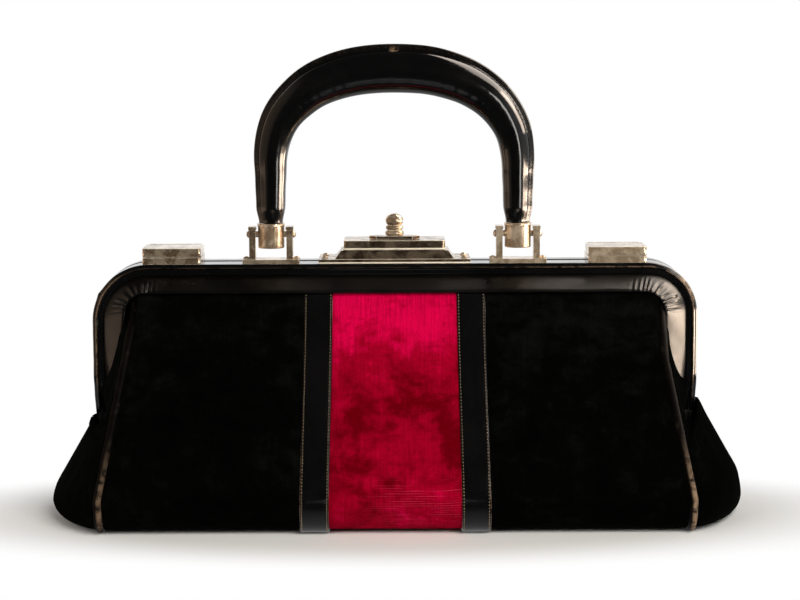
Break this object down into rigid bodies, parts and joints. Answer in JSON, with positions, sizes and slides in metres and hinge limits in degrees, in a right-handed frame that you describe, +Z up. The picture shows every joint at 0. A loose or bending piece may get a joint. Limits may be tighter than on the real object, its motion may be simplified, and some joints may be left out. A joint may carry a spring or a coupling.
{
  "type": "framed handbag",
  "caption": "Vintage framed velvet handbag with a crimson centre stripe, leather straps and piping, hinged leather-covered jaws, brass clasp and catches, and a swinging rolled handle.",
  "frame": {"origin": "on the floor under the middle of the base", "axes": "+X along the bag's length to the viewer's right, +Y from the front to the back, +Z up"},
  "size_m": [0.3486, 0.1198, 0.2357],
  "materials": {
    "black_velvet": "short dense black pile with soft greyish sheen and crushed patches",
    "crimson_velvet": "crushed crimson pile, bright where brushed and worn to pale threads low down",
    "patent_leather": "glossy black patent leather with fine creases and brown worn edges",
    "facing_leather": "thin black-brown leather, softly glossy, gathered at the corners",
    "piping_leather": "dark brown-black piping leather scuffed to tan",
    "brass": "pale aged brass with brown tarnish, scratches and bright bevels",
    "frame_steel": "black enamelled steel strip",
    "base_board": "stiff fibre board",
    "lining_cloth": "plain woven brown lining cloth"
  },
  "bodies": {
    "bag": {"left_velvet_panel": "black_velvet", "right_velvet_panel": "black_velvet", "crimson_velvet_panel": "crimson_velvet", "left_strap": "patent_leather", "right_strap": "patent_leather", "left_gusset": "black_velvet", "right_gusset": "black_velvet", "left_piping": "piping_leather", "right_piping": "piping_leather", "base_board": "base_board", "lining": "lining_cloth", "left_hinge_rivet": "frame_steel", "right_hinge_rivet": "frame_steel"},
    "front_jaw": {"front_jaw_steel": "frame_steel", "front_jaw_cover": "patent_leather", "front_facing": "facing_leather", "left_handle_bracket": "brass", "right_handle_bracket": "brass", "left_handle_pin": "brass", "right_handle_pin": "brass", "bracket_rivets": "brass", "clasp_front_plate": "brass", "clasp_front_rivets": "brass", "left_catch_keeper": "brass", "right_catch_keeper": "brass"},
    "rear_jaw": {"rear_jaw_steel": "frame_steel", "rear_jaw_cover": "patent_leather", "rear_facing": "facing_leather", "clasp_rear_plate": "brass", "clasp_rear_rivets": "brass", "clasp_hinge_pin": "brass", "left_catch_base": "brass", "right_catch_base": "brass", "left_catch_pin": "brass", "right_catch_pin": "brass"},
    "hasp": {"clasp_hasp": "brass"},
    "slide_knob": {"clasp_slide_plate": "brass", "clasp_knob": "brass", "clasp_bolt": "brass"},
    "left_catch": {"left_catch_flap": "brass"},
    "right_catch": {"right_catch_flap": "brass"},
    "handle": {"handle_cover": "patent_leather", "handle_core": "frame_steel", "left_ferrule": "brass", "right_ferrule": "brass"}
  },
  "joints": [
    {"name": "front_jaw_open", "type": "hinge", "parent": "bag", "child": "front_jaw", "pos_m": [0, 0, 0.0505], "axis": [1, 0, 0], "range_deg": [0, 35]},
    {"name": "rear_jaw_open", "type": "hinge", "parent": "bag", "child": "rear_jaw", "pos_m": [0, 0, 0.0505], "axis": [-1, 0, 0], "range_deg": [0, 35]},
    {"name": "handle_swing", "type": "hinge", "parent": "front_jaw", "child": "handle", "pos_m": [0, -0.0074, 0.1423], "axis": [1, 0, 0], "range_deg": [-95, 110]},
    {"name": "hasp_lift", "type": "hinge", "parent": "rear_jaw", "child": "hasp", "pos_m": [0, 0.011, 0.137], "axis": [-1, 0, 0], "range_deg": [0, 110]},
    {"name": "knob_slide", "type": "slide", "parent": "hasp", "child": "slide_knob", "axis": [1, 0, 0], "range_m": [0, 0.006]},
    {"name": "left_catch_lift", "type": "hinge", "parent": "rear_jaw", "child": "left_catch", "pos_m": [0, 0.011, 0.1337], "axis": [-1, 0, 0], "range_deg": [0, 110]},
    {"name": "right_catch_lift", "type": "hinge", "parent": "rear_jaw", "child": "right_catch", "pos_m": [0, 0.011, 0.1337], "axis": [-1, 0, 0], "range_deg": [0, 110]}
  ]
}
